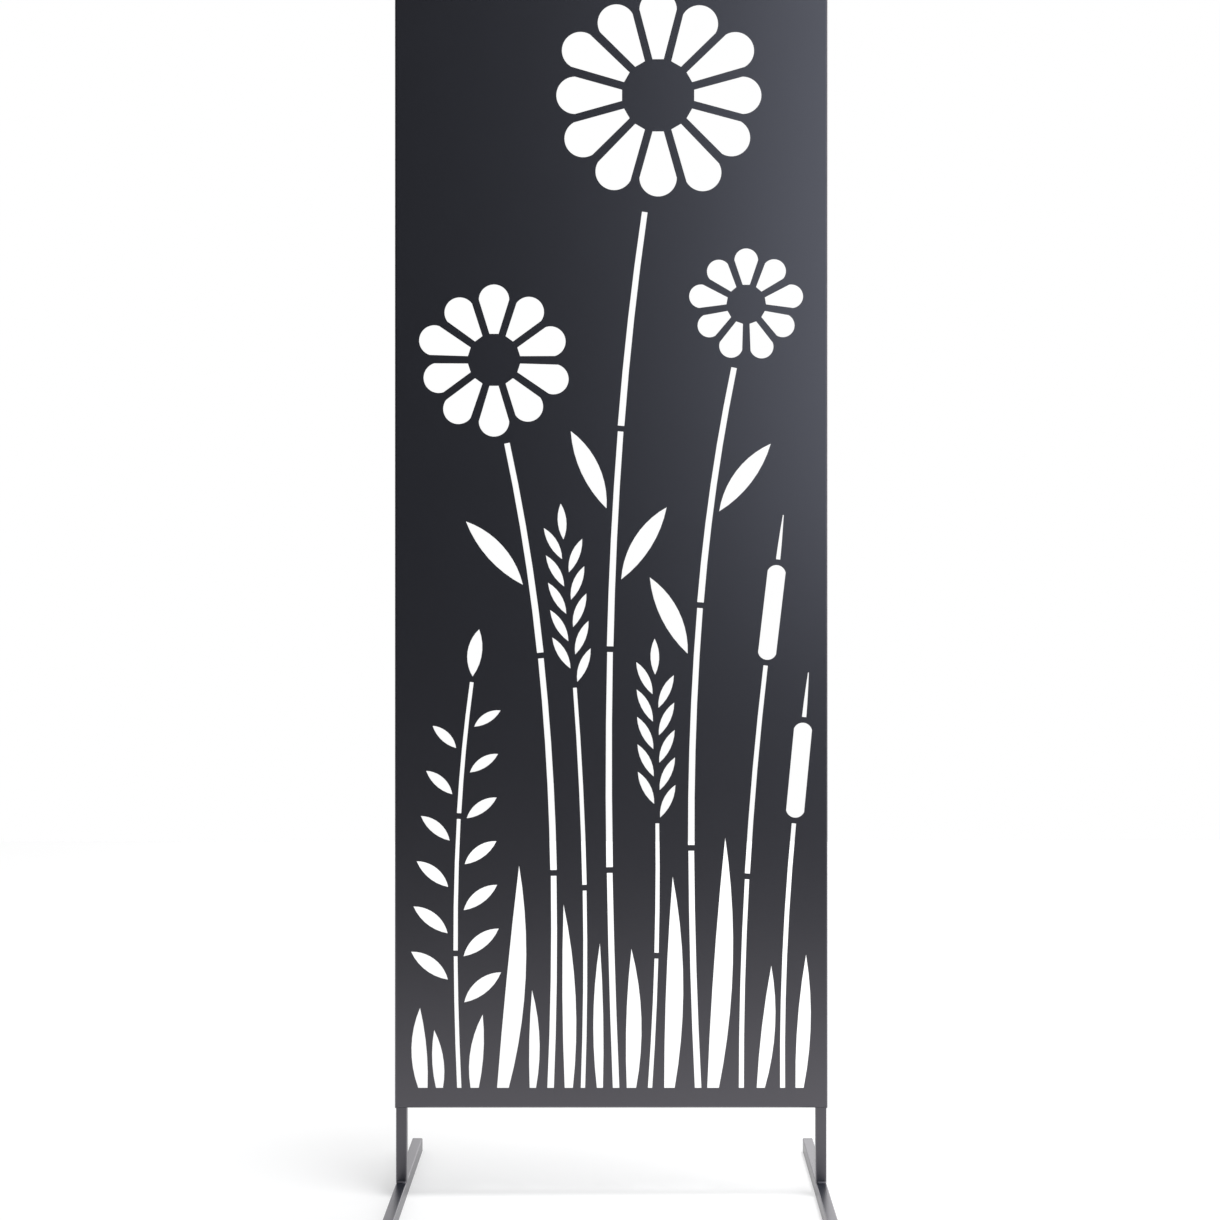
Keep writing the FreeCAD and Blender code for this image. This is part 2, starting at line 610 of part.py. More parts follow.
def make_panel():
    """One sheet: sides folded into channels, ends into flanges, with screw holes and the cut-out drawing."""
    body = new_body("panel")
    fold_sides(body)
    fold_end(body, "lower", "0", along_normal=True)
    fold_end(body, "upper", PANEL_HEIGHT, along_normal=False)
    for side, sign in SIDES:
        hole_place = f"{sign} * {POST_X}", "Sizes.screw_first", f"-{TRAY_DEPTH} / 2"
        hole = new_sketch(body, f"{side}_screw_hole", "XZ_Plane", *hole_place)
        draw_circle(hole, "Sizes.screw_radius + Sizes.screw_hole_gap")
        cut = extrude(body, "Pocket", hole, SHEET_CUT, along_normal=True)
        row_of(body, cut, f"{side}_screw_holes", "Z_Axis", SCREW_SPAN, "Sizes.screw_count")
    for draw in (draw_daisies, draw_twig, draw_wheat, draw_reeds, draw_grass):
        sketch = new_sketch(body, draw.__name__.removeprefix("draw_"), "XZ_Plane", z=f"{TRAY_DEPTH} / 2")
        draw(sketch)
        extrude(body, "Pocket", sketch, SHEET_CUT)
    move(body, y=f"({TRAY_BACK} - {TRAY_FRONT}) / 2", z="Sizes.ground_gap")
    return body


# The tubes and their plastic caps

def make_post(side, sign):
    """A square leg tube that stands on its foot and rises inside the panel's side channel."""
    body = new_body(f"{side}_post")
    section = new_sketch(body, "post_section", "XY_Plane")
    bore = "Sizes.post_size - 2 * Sizes.post_wall"
    draw_rectangle(section, "Sizes.post_size", "Sizes.post_size")
    draw_rectangle(section, bore, bore)
    extrude(body, "Pad", section, POST_LENGTH)
    half = both("Sizes.post_size / 2")
    fillet(body, "post_corners", "Sizes.tube_corner", edges_at(UP, x=half, y=half))
    first_hole = "Sizes.ground_gap - Sizes.foot_height + Sizes.screw_first"
    hole = new_sketch(body, "rivet_hole", "XZ_Plane", y=first_hole, z="-Sizes.post_size / 2")
    draw_hexagon(hole, "(Sizes.rivet_barrel_flats + 2 * Sizes.rivet_hole_gap)")
    cut = extrude(body, "Pocket", hole, "Sizes.post_wall + Sizes.cut_overrun", along_normal=True)
    row_of(body, cut, "rivet_holes", "Z_Axis", SCREW_SPAN, "Sizes.screw_count")
    move(body, x=f"{sign} * {POST_X}", z="Sizes.foot_height")
    return body


def make_foot(side, sign):
    """A rectangular tube under a post, from front to back."""
    body = new_body(f"{side}_foot")
    section = new_sketch(body, "foot_section", "XZ_Plane")
    draw_rectangle(section, "Sizes.foot_width", "Sizes.foot_height")
    draw_rectangle(
        section, "Sizes.foot_width - 2 * Sizes.foot_wall", "Sizes.foot_height - 2 * Sizes.foot_wall"
    )
    extrude(body, "Pad", section, FOOT_TUBE_LENGTH, both_ways=True)
    corners = edges_at(BACK, x=both("Sizes.foot_width / 2"), z=both("Sizes.foot_height / 2"))
    fillet(body, "foot_corners", "Sizes.tube_corner", corners)
    move(body, x=f"{sign} * {POST_X}", z="Sizes.foot_height / 2")
    return body


def make_cap(label, width, height, wall):
    """A moulded cap along +Z: a bevelled head on the tube's end over a hollow plug with grip fins."""
    body = new_body(label)
    head = new_sketch(body, "cap_head", "XY_Plane")
    draw_rectangle(head, width, height)
    extrude(body, "Pad", head, "Sizes.cap_head")
    corners = edges_at(UP, x=both(f"{width} / 2"), y=both(f"{height} / 2"))
    chamfer(body, "cap_corners", "Sizes.tube_corner", corners)
    chamfer(body, "cap_rim", "Sizes.cap_bevel", edges_level_at(size("cap_head")))

    inset = f"2 * ({wall} + Sizes.cap_grip)"
    core_inset = f"({inset} + 2 * Sizes.cap_fin_rise)"
    core = new_sketch(body, "cap_core", "XY_Plane")
    draw_rectangle(core, f"{width} - {core_inset}", f"{height} - {core_inset}")
    extrude(body, "Pad", core, "Sizes.cap_plug", along_normal=False)

    fin_pitch = "(Sizes.cap_plug / (Sizes.cap_fin_count + 1))"
    fin = new_sketch(body, "cap_fin", "XY_Plane", z=f"-Sizes.cap_fin_count * {fin_pitch}")
    draw_rectangle(fin, f"{width} - {inset}", f"{height} - {inset}")
    lowest = extrude(body, "Pad", fin, "Sizes.cap_fin", both_ways=True)
    fin_span = f"{fin_pitch} * (Sizes.cap_fin_count - 1)"
    row_of(body, lowest, "cap_fins", "Z_Axis", fin_span, "Sizes.cap_fin_count")

    hollow_inset = f"({core_inset} + 2 * Sizes.cap_shell)"
    hollow = new_sketch(body, "cap_hollow", "XY_Plane", z="-Sizes.cap_plug")
    draw_rectangle(hollow, f"{width} - {hollow_inset}", f"{height} - {hollow_inset}")
    extrude(body, "Pocket", hollow, "Sizes.cap_plug", along_normal=True)
    return body


def make_foot_caps(side, sign):
    """The two end caps of a foot, with their heads to the front and to the rear."""
    caps = []
    for end, facing in (("front", -1), ("rear", 1)):
        cap = make_cap(f"{side}_foot_{end}_cap", "Sizes.foot_width", "Sizes.foot_height", "Sizes.foot_wall")
        cap.Placement.Rotation = FreeCAD.Rotation(ACROSS, -90 * facing)
        move(cap, f"{sign} * {POST_X}", f"{facing} * {FOOT_TUBE_LENGTH} / 2", "Sizes.foot_height / 2")
        caps.append(cap)
    return caps


def make_post_plug(side, sign):
    """The cap of a post's upper end, inside the panel's side channel."""
    plug = make_cap(f"{side}_post_plug", "Sizes.post_size", "Sizes.post_size", "Sizes.post_wall")
    move(plug, x=f"{sign} * {POST_X}", z=f"Sizes.foot_height + {POST_LENGTH}")
    return plug


# The fasteners and welds. One of each is modelled along +Z, and a group holds the copies in their places.

def add_prism(body, name, draw, breadth, length, at="0", along_normal=True):
    """A round or hexagonal length of a body, from a height along Z upwards or downwards."""
    sketch = new_sketch(body, name, "XY_Plane", z=at)
    draw(sketch, breadth)
    return extrude(body, "Pad", sketch, length, along_normal=along_normal)


def make_rivet_nut():
    """A hexagonal rivet nut: a rim on the tube's wall, and behind the wall the fold that grips it."""
    body = new_body("rivet_nut")
    rim_thickness, wall = "Sizes.rivet_rim_thickness", "Sizes.post_wall"
    add_prism(body, "rim", draw_circle, "Sizes.rivet_rim_radius", rim_thickness)
    barrel = draw_hexagon, "Sizes.rivet_barrel_flats", "Sizes.rivet_length"
    add_prism(body, "barrel", *barrel, along_normal=False)
    fold = draw_hexagon, "Sizes.rivet_fold_flats", "Sizes.rivet_fold_length"
    add_prism(body, "fold", *fold, at=f"-{wall}", along_normal=False)
    bore = new_sketch(body, "bore", "XY_Plane", z=rim_thickness)
    draw_circle(bore, "Sizes.screw_radius + Sizes.thread_gap")
    extrude(body, "Pocket", bore, f"{rim_thickness} + Sizes.rivet_length")
    return body


def make_screw():
    """A hexagon-head screw."""
    body = new_body("screw")
    add_prism(body, "screw_head", draw_hexagon, "Sizes.screw_head_flats", "Sizes.screw_head_height")
    add_prism(body, "shank", draw_circle, "Sizes.screw_radius", "Sizes.screw_length", along_normal=False)
    return body


def make_washer():
    """A flat washer."""
    body = new_body("washer")
    ring = new_sketch(body, "ring", "XY_Plane")
    draw_circle(ring, "Sizes.washer_radius")
    draw_circle(ring, "Sizes.screw_radius + Sizes.washer_gap")
    extrude(body, "Pad", ring, "Sizes.washer_thickness")
    return body


def make_weld():
    """A bead of weld along X, a quarter round between an upright wall and a level one."""
    body = new_body("weld")
    sketch = new_sketch(body, "bead", "YZ_Plane")
    quarter = Part.ArcOfCircle(Part.Circle(Vector(0, 0, 0), UP, 1), 0, math.pi / 2)
    arc, level, upright = sketch.addGeometry([
        quarter,
        Part.LineSegment(Vector(0, 0, 0), Vector(1, 0, 0)),
        Part.LineSegment(Vector(0, 1, 0), Vector(0, 0, 0)),
    ])
    sketch.addConstraint(Sketcher.Constraint("Coincident", arc, 3, -1, 1))
    for line, end, following, start in ((level, 2, arc, 1), (arc, 2, upright, 1), (upright, 2, level, 1)):
        sketch.addConstraint(Sketcher.Constraint("Coincident", line, end, following, start))
    sketch.addConstraint(Sketcher.Constraint("Coincident", level, 1, -1, 1))
    sketch.addConstraint(Sketcher.Constraint("Horizontal", level))
    sketch.addConstraint(Sketcher.Constraint("Vertical", upright))
    bind(sketch, Sketcher.Constraint("Radius", arc, 1), "Sizes.weld_size")
    extrude(body, "Pad", sketch, "Sizes.post_size - 2 * Sizes.tube_corner", both_ways=True)
    return body


def make_group(label, master, placements):
    """Separate copies of one piece, as one object."""
    copies = []
    for placement in placements:
        copy = master.Shape.copy()
        copy.Placement = placement
        copies.append(copy)
    group = doc.addObject("Part::Feature", label)
    group.Label = label
    group.Shape = Part.makeCompound(copies)
    return group


def screw_places(y_expression):
    """The screws' places on both posts, at a distance behind the posts' middle, facing the rear."""
    facing_rear = FreeCAD.Rotation(ACROSS, -90)
    lowest = number("Sizes.ground_gap + Sizes.screw_first")
    places = []
    for side, sign in SIDES:
        for place in range(int(size("screw_count"))):
            height = lowest + place * size("screw_pitch")
            point = Vector(sign * number(POST_X), number(y_expression), height)
            places.append(FreeCAD.Placement(point, facing_rear))
    return places


def weld_places():
    """The beads' places, in front of and behind each post, on top of its foot."""
    places = []
    for side, sign in SIDES:
        for facing, turn in ((-1, 180), (1, 0)):
            point = Vector(sign * number(POST_X), facing * size("post_size") / 2, size("foot_height"))
            places.append(FreeCAD.Placement(point, FreeCAD.Rotation(UP, turn)))
    return places


# Assembly and export

pieces = [make_panel()]
for side, sign in SIDES:
    pieces.append(make_post(side, sign))
    pieces.append(make_foot(side, sign))
    pieces.extend(make_foot_caps(side, sign))
    pieces.append(make_post_plug(side, sign))
doc.recompute()
pieces.append(make_group("rivet_nuts", make_rivet_nut(), screw_places("Sizes.post_size / 2")))
pieces.append(make_group("washers", make_washer(), screw_places(TRAY_BACK)))
pieces.append(make_group("screws", make_screw(), screw_places(f"{TRAY_BACK} + Sizes.washer_thickness")))
pieces.append(make_group("weld_beads", make_weld(), weld_places()))
doc.recompute()

failed = [item.Label for item in doc.Objects if {"Invalid", "Error"} & set(item.State)]
if failed:
    raise RuntimeError(f"failed objects: {failed}")
for piece in pieces:
    if piece.Shape.isNull() or not piece.Shape.isValid():
        raise RuntimeError(f"bad shape: {piece.Label}")

os.makedirs("parts", exist_ok=True)
for piece in pieces:
    piece.Shape.exportStep(f"parts/{piece.Label}.step")
    print(piece.Label, len(piece.Shape.Solids), "solids", round(piece.Shape.Volume), "mm3")
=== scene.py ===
"""A free-standing garden screen of powder-coated sheet steel, standing in a white studio."""

import math

import bmesh
import bpy
from mathutils import Matrix, Vector


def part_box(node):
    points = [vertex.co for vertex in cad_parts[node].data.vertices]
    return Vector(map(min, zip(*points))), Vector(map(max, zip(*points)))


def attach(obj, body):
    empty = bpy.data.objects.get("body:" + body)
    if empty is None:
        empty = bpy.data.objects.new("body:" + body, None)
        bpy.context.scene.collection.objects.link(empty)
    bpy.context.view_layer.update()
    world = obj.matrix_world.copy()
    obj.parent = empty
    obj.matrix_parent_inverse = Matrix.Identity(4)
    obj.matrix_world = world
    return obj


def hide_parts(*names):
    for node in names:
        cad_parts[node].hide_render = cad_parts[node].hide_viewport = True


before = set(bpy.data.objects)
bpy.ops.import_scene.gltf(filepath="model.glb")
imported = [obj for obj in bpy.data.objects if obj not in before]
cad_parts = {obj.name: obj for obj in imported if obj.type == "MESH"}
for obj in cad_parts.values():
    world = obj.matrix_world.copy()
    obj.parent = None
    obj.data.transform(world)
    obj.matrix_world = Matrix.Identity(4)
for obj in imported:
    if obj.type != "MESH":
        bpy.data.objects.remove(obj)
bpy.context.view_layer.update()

# The legs and cross feet
# Square and rectangular welded steel tube, sawn square, with each leg standing on the middle of its foot.
# They are sprayed with polyester powder and baked together with the panel.

MM = 0.001
ANTHRACITE = "#14181f"
ANTHRACITE_THIN = "#181c24"
COAT_ROUGHNESS = 0.32
COAT_IOR = 2.1
COAT_SHEEN = "#fdf7ff"
ORANGE_PEEL = 2.5 * MM
ORANGE_PEEL_HEIGHT = 0.012 * MM
SHEET_WAVE = 190 * MM
SHEET_WAVE_HEIGHT = 0.2 * MM
FILM_PATCH = 60 * MM


def linear(hex_colour):
    """A shader's linear colour from an sRGB hex value."""
    shares = [int(hex_colour[i:i + 2], 16) / 255 for i in (1, 3, 5)]
    return [s / 12.92 if s <= 0.04045 else ((s + 0.055) / 1.055) ** 2.4 for s in shares] + [1.0]


def add_node(tree, kind, inputs=None, **settings):
    """Adds a node with its settings. An input is a plain value or the output socket that feeds it."""
    node = tree.nodes.new(kind)
    for name, value in settings.items():
        setattr(node, name, value)
    for socket, value in (inputs or {}).items():
        if isinstance(value, bpy.types.NodeSocket):
            tree.links.new(value, node.inputs[socket])
        else:
            node.inputs[socket].default_value = value
    return node


def new_material(name):
    """An empty node material with its tree."""
    material = bpy.data.materials.new(name)
    material.use_nodes = True
    material.node_tree.nodes.clear()
    return material, material.node_tree


def polyester_powder_coat():
    """Satin anthracite: an even dark film whose fine orange peel blurs what it mirrors.

    The peel of such a coat is about a millimetre wide and is drawn coarser here so that it shows.
    """
    material, tree = new_material("polyester_powder_coat")
    place = add_node(tree, "ShaderNodeTexCoord").outputs["Object"]
    film = add_node(tree, "ShaderNodeTexNoise", {"Vector": place, "Scale": 1 / FILM_PATCH, "Detail": 3.0})
    colour = add_node(
        tree, "ShaderNodeMix",
        {"Factor": film.outputs["Fac"], "A": linear(ANTHRACITE), "B": linear(ANTHRACITE_THIN)},
        data_type="RGBA",
    )
    wave = add_node(tree, "ShaderNodeTexNoise", {"Vector": place, "Scale": 1 / SHEET_WAVE, "Detail": 0.0})
    sheet = add_node(tree, "ShaderNodeBump", {"Height": wave.outputs["Fac"], "Distance": SHEET_WAVE_HEIGHT})
    peel = add_node(tree, "ShaderNodeTexNoise", {"Vector": place, "Scale": 1 / ORANGE_PEEL, "Detail": 2.0})
    skin = add_node(
        tree, "ShaderNodeBump",
        {"Height": peel.outputs["Fac"], "Distance": ORANGE_PEEL_HEIGHT, "Normal": sheet.outputs["Normal"]},
    )
    coat = add_node(
        tree, "ShaderNodeBsdfPrincipled",
        {
            "Base Color": colour.outputs["Result"],
            "Roughness": COAT_ROUGHNESS,
            "IOR": COAT_IOR,
            "Specular Tint": linear(COAT_SHEEN),
            "Normal": skin.outputs["Normal"],
        },
    )
    add_node(tree, "ShaderNodeOutputMaterial", {"Surface": coat.outputs["BSDF"]})
    return material


powder_coat = polyester_powder_coat()
for name in ("left_foot", "right_foot", "left_post", "right_post"):
    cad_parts[name].material_slots[0].material = powder_coat

# The weld beads
# A short run of weld in front of each leg and one behind it hold the leg on its foot. Each is a row of small
# overlapping pools, thin at both ends, under the same powder coat.

BEAD_INSET = 0.5 * MM
POOL_PITCH = 1.4 * MM
POOL_DIP_SHARE = 0.018
POOL_BOW_SHARE = 0.4
POOL_POINTS = 10
BEAD_END_POWER = 4
BEAD_ARC_STEPS = 14
BEAD_SMOOTH_BELOW = 60
SMOOTH_BELOW = 35
MERGE_DISTANCE = 0.001 * MM


def verts_in(geometry):
    """The vertices among what an operator made."""
    return [g for g in geometry if isinstance(g, bmesh.types.BMVert)]


def face_in(geometry):
    """The first face among what an operator made."""
    return next(g for g in geometry if isinstance(g, bmesh.types.BMFace))


def add_piece(name, bm, material, replaced, smooth_below=SMOOTH_BELOW):
    """Makes a piece of a mesh that is in its place, with its finish, the node it replaces and its body."""
    bmesh.ops.recalc_face_normals(bm, faces=bm.faces)
    mesh = bpy.data.meshes.new(name)
    bm.to_mesh(mesh)
    bm.free()
    mesh.shade_smooth()
    mesh.set_sharp_from_angle(angle=math.radians(smooth_below))
    mesh.materials.append(material)
    piece = bpy.data.objects.new(name, mesh)
    bpy.context.scene.collection.objects.link(piece)
    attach(piece, "root")
    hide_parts(replaced)


def set_out(bm, places):
    """Copies the one shape in a mesh to each place, given as a matrix, and removes the first."""
    shape = bm.verts[:] + bm.edges[:] + bm.faces[:]
    first = bm.verts[:]
    for place in places:
        copy = bmesh.ops.duplicate(bm, geom=shape)["geom"]
        bmesh.ops.transform(bm, matrix=place, verts=verts_in(copy))
    bmesh.ops.delete(bm, geom=first, context="VERTS")


def bead_mesh(length, leg):
    """A fillet along X behind the XZ plane: its rippled top line, spun down on to the XY plane.

    The pools bow along X half-way down, and the quarter round is closed to the X axis.
    """

    def fullness(x):
        """One in the middle of the bead and nought at its ends."""
        return 1 - abs(2 * x / length) ** BEAD_END_POWER

    bm = bmesh.new()
    ends = [bmesh.ops.create_vert(bm, co=(side * length / 2, 0, 0))["vert"][0] for side in (-1, 1)]
    line = bm.edges.new(ends)
    bmesh.ops.subdivide_edges(bm, edges=[line], cuts=round(length / POOL_PITCH) * POOL_POINTS - 1)
    for vert in bm.verts:
        ripple = 1 - POOL_DIP_SHARE * math.cos(math.pi * vert.co.x / POOL_PITCH) ** 2
        vert.co.z = leg * ripple * fullness(vert.co.x) ** 0.5
    bmesh.ops.spin(
        bm, geom=bm.verts[:] + bm.edges[:], cent=(0, 0, 0), axis=(-1, 0, 0), angle=math.pi / 2,
        steps=BEAD_ARC_STEPS,
    )
    bmesh.ops.remove_doubles(bm, verts=bm.verts, dist=MERGE_DISTANCE)
    for vert in bm.verts:
        lean = math.atan2(vert.co.z, vert.co.y)
        vert.co.x += POOL_BOW_SHARE * POOL_PITCH * math.sin(2 * lean) * fullness(vert.co.x)
    made = bmesh.ops.extrude_edge_only(bm, edges=[e for e in bm.edges if e.is_boundary])["geom"]
    bmesh.ops.scale(bm, vec=(1, 0, 0), verts=verts_in(made))
    bmesh.ops.remove_doubles(bm, verts=bm.verts, dist=MERGE_DISTANCE)
    return bm


right_low, right_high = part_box("right_post")
foot_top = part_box("left_foot")[1].z
leg_middle = (right_low.x + right_high.x) / 2
beads = bead_mesh(right_high.x - right_low.x - 2 * BEAD_INSET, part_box("weld_beads")[1].z - foot_top)
set_out(beads, [
    Matrix.Translation((side * leg_middle, face, foot_top)) @ Matrix.Rotation(turn, 4, "Z")
    for side in (-1, 1)
    for face, turn in ((right_high.y, 0), (right_low.y, math.pi))
])
add_piece("weld_beads_rippled", beads, powder_coat, "weld_beads", BEAD_SMOOTH_BELOW)

# The end caps
# Ribbed plugs of black polyethylene, moulded with a cushioned head, close both ends of each foot and the
# upper end of each leg. They are pushed in, and their ribs grip the tube.

POLYETHYLENE = "#1b1b1c"
POLYETHYLENE_WORN = "#232324"
POLYETHYLENE_ROUGHNESS = 0.52
POLYETHYLENE_IOR = 1.51
SPARK_GRAIN = 0.9 * MM
SPARK_GRAIN_HEIGHT = 0.03 * MM
TUBE_WALL = 1.2 * MM
TUBE_CORNER = 1.5 * MM
TUBE_CORNER_SEGMENTS = 6
CAP_RIM = 0.6 * MM
CAP_RIM_SEGMENTS = 5
RIB_PLAY = 0.1 * MM
RIB_RISE = 0.9 * MM
RIB_THICK = 0.8 * MM
RIB_COUNT = 4
PLUG_WALL = 1.2 * MM


def moulded_polyethylene():
    """Black and soft: dull, with the fine grain of a spark-eroded mould, drawn a little coarse to show."""
    material, tree = new_material("moulded_polyethylene")
    place = add_node(tree, "ShaderNodeTexCoord").outputs["Object"]
    grain = add_node(tree, "ShaderNodeTexNoise", {"Vector": place, "Scale": 1 / SPARK_GRAIN, "Detail": 4.0})
    colour = add_node(
        tree, "ShaderNodeMix",
        {"Factor": grain.outputs["Fac"], "A": linear(POLYETHYLENE), "B": linear(POLYETHYLENE_WORN)},
        data_type="RGBA",
    )
    skin = add_node(tree, "ShaderNodeBump", {"Height": grain.outputs["Fac"], "Distance": SPARK_GRAIN_HEIGHT})
    plastic = add_node(
        tree, "ShaderNodeBsdfPrincipled",
        {
            "Base Color": colour.outputs["Result"],
            "Roughness": POLYETHYLENE_ROUGHNESS,
            "IOR": POLYETHYLENE_IOR,
            "Normal": skin.outputs["Normal"],
        },
    )
    add_node(tree, "ShaderNodeOutputMaterial", {"Surface": plastic.outputs["BSDF"]})
    return material


def draw_down(bm, face, depth, width, height):
    """Extrudes a face downwards, removes the old one and gives the new one its own width and height."""
    end = face_in(bmesh.ops.extrude_face_region(bm, geom=[face])["geom"])
    bmesh.ops.delete(bm, geom=[face], context="FACES_ONLY")
    old_width, old_height = (2 * max(abs(v.co[axis]) for v in end.verts) for axis in (0, 1))
    bmesh.ops.scale(bm, vec=(width / old_width, height / old_height, 1), verts=end.verts)
    bmesh.ops.translate(bm, vec=(0, 0, -depth), verts=end.verts)
    return end


def add_cap(name, width, height, head, plug, turn, place):
    """A cap on the end of a tube, made head up on the XY plane and then turned to its place."""
    bm = bmesh.new()
    bmesh.ops.create_cube(bm, size=1)
    bmesh.ops.scale(bm, vec=(width, height, head), verts=bm.verts)
    bmesh.ops.translate(bm, vec=(0, 0, head / 2), verts=bm.verts)
    corners = [e for e in bm.edges if abs(e.verts[0].co.z - e.verts[1].co.z) > head / 2]
    bmesh.ops.bevel(
        bm, geom=corners, offset=TUBE_CORNER, affect="EDGES", segments=TUBE_CORNER_SEGMENTS, profile=0.5,
        material=-1,
    )
    rim = [e for e in bm.edges if min(v.co.z for v in e.verts) > head / 2]
    bmesh.ops.bevel(
        bm, geom=rim, offset=CAP_RIM, affect="EDGES", segments=CAP_RIM_SEGMENTS, profile=0.5, material=-1,
    )
    seat = min(bm.faces, key=lambda f: f.calc_center_median().z)
    inside = (width - 2 * TUBE_WALL - 2 * RIB_PLAY, height - 2 * TUBE_WALL - 2 * RIB_PLAY)
    core = (inside[0] - 2 * RIB_RISE, inside[1] - 2 * RIB_RISE)
    bare = (plug - RIB_COUNT * RIB_THICK) / (RIB_COUNT + 1)
    end = draw_down(bm, seat, 0, *core)
    for _ in range(RIB_COUNT):
        end = draw_down(bm, end, bare, *core)
        end = draw_down(bm, end, 0, *inside)
        end = draw_down(bm, end, RIB_THICK, *core)
    end = draw_down(bm, end, bare, *core)
    bore = (core[0] - 2 * PLUG_WALL, core[1] - 2 * PLUG_WALL)
    end = draw_down(bm, end, 0, *bore)
    draw_down(bm, end, -plug, *bore)
    bmesh.ops.transform(bm, matrix=Matrix.Translation(place) @ turn, verts=bm.verts)
    add_piece(f"{name}_moulded", bm, polyethylene, name)


polyethylene = moulded_polyethylene()
for side in ("left", "right"):
    foot_low, foot_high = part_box(f"{side}_foot")
    post_low, post_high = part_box(f"{side}_post")
    foot_middle = (foot_low + foot_high) / 2
    post_middle = (post_low + post_high) / 2
    foot_size = foot_high - foot_low
    post_size = post_high - post_low
    for end, quarter in (("front", 1), ("rear", -1)):
        low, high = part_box(f"{side}_foot_{end}_cap")
        tube_end = foot_low.y if end == "front" else foot_high.y
        head = max(high.y - foot_high.y, foot_low.y - low.y)
        add_cap(
            f"{side}_foot_{end}_cap", foot_size.x, foot_size.z, head, high.y - low.y - head,
            Matrix.Rotation(quarter * math.pi / 2, 4, "X"), Vector((foot_middle.x, tube_end, foot_middle.z)),
        )
    low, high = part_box(f"{side}_post_plug")
    head = high.z - post_high.z
    add_cap(
        f"{side}_post_plug", post_size.x, post_size.y, head, high.z - low.z - head,
        Matrix.Identity(4), Vector((post_middle.x, post_middle.y, post_high.z)),
    )

# The rivet nuts
# Hexagonal steel rivet nuts, zinc plated, are set in the rear wall of each leg before it is coated. Folding
# their thin waist behind the wall holds them.

ZINC = "#c4c7cb"
ZINC_DULL = "#a9adb3"
ZINC_ROUGHNESS = (0.22, 0.4)
ZINC_PATCH = 3 * MM


def bright_zinc_plate():
    """Thin blue-white plating over turned steel: a cool metal that is a little cloudy in patches."""
    material, tree = new_material("bright_zinc_plate")
    place = add_node(tree, "ShaderNodeTexCoord").outputs["Object"]
    cloud = add_node(tree, "ShaderNodeTexNoise", {"Vector": place, "Scale": 1 / ZINC_PATCH, "Detail": 3.0})
    colour = add_node(
        tree, "ShaderNodeMix",
        {"Factor": cloud.outputs["Fac"], "A": linear(ZINC), "B": linear(ZINC_DULL)},
        data_type="RGBA",
    )
    gloss = add_node(
        tree, "ShaderNodeMapRange",
        {"Value": cloud.outputs["Fac"], "To Min": ZINC_ROUGHNESS[0], "To Max": ZINC_ROUGHNESS[1]},
    )
    metal = add_node(
        tree, "ShaderNodeBsdfPrincipled",
        {"Base Color": colour.outputs["Result"], "Metallic": 1.0, "Roughness": gloss.outputs["Result"]},
    )
    add_node(tree, "ShaderNodeOutputMaterial", {"Surface": metal.outputs["BSDF"]})
    return material


zinc_plate = bright_zinc_plate()
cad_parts["rivet_nuts"].material_slots[0].material = zinc_plate

# The panel
# One sheet of cold-rolled steel: the drawing is laser cut, then the sides are folded into channels that take
# the legs and the ends into flanges. It slides over the legs after coating.

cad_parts["panel"].material_slots[0].material = powder_coat

# The washers
# Flat stamped washers, zinc plated, under the heads of the screws. The stamping rounds their outer edge.

WASHER_BORE = 2.7 * MM
WASHER_EDGE = 0.2 * MM
WASHER_EDGE_SEGMENTS = 3
WASHER_RIM_SHARE = 0.99
ROUND_SEGMENTS = 48

washer_low, washer_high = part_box("washers")
washer_radius = washer_high.x - leg_middle
screw_places = [
    Matrix.Translation((side * leg_middle, washer_high.y, height)) @ Matrix.Rotation(-math.pi / 2, 4, "X")
    for side in (-1, 1)
    for height in (washer_low.z + washer_radius, washer_high.z - washer_radius)
]
washers = bmesh.new()
bmesh.ops.create_circle(washers, segments=ROUND_SEGMENTS, radius=washer_radius)
bore = verts_in(bmesh.ops.extrude_edge_only(washers, edges=washers.edges[:])["geom"])
bmesh.ops.scale(washers, vec=(WASHER_BORE / washer_radius, WASHER_BORE / washer_radius, 1), verts=bore)
bmesh.ops.solidify(washers, geom=washers.faces[:], thickness=washer_high.y - washer_low.y)
bmesh.ops.translate(washers, vec=(0, 0, -max(v.co.z for v in washers.verts)), verts=washers.verts)
rim = [e for e in washers.edges if all(v.co.xy.length > WASHER_RIM_SHARE * washer_radius for v in e.verts)]
crown = [e for e in rim if min(v.co.z for v in e.verts) > -WASHER_EDGE]
bmesh.ops.bevel(
    washers, geom=crown, offset=WASHER_EDGE, affect="EDGES", segments=WASHER_EDGE_SEGMENTS, profile=0.5,
    material=-1,
)
set_out(washers, screw_places)
add_piece("washers_stamped", washers, zinc_plate, "washers")

# The screws
# Hexagon-head machine screws, zinc plated, go through the panel's rear lips into the rivet nuts. The head is
# chamfered to a round crown and the thread is rolled.

SCREW_FLATS = 8 * MM
SCREW_CROWN_SHARE = 0.94
SCREW_CHAMFER = math.radians(30)
SCREW_SMOOTH_BELOW = 25
THREAD_RADIUS = 2.45 * MM
THREAD_PITCH = 0.8 * MM
THREAD_DEPTH = 0.45 * MM
THREAD_STEPS = 24

screw_low, screw_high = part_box("screws")
head_height = screw_high.y - washer_high.y
shank_length = washer_high.y - screw_low.y


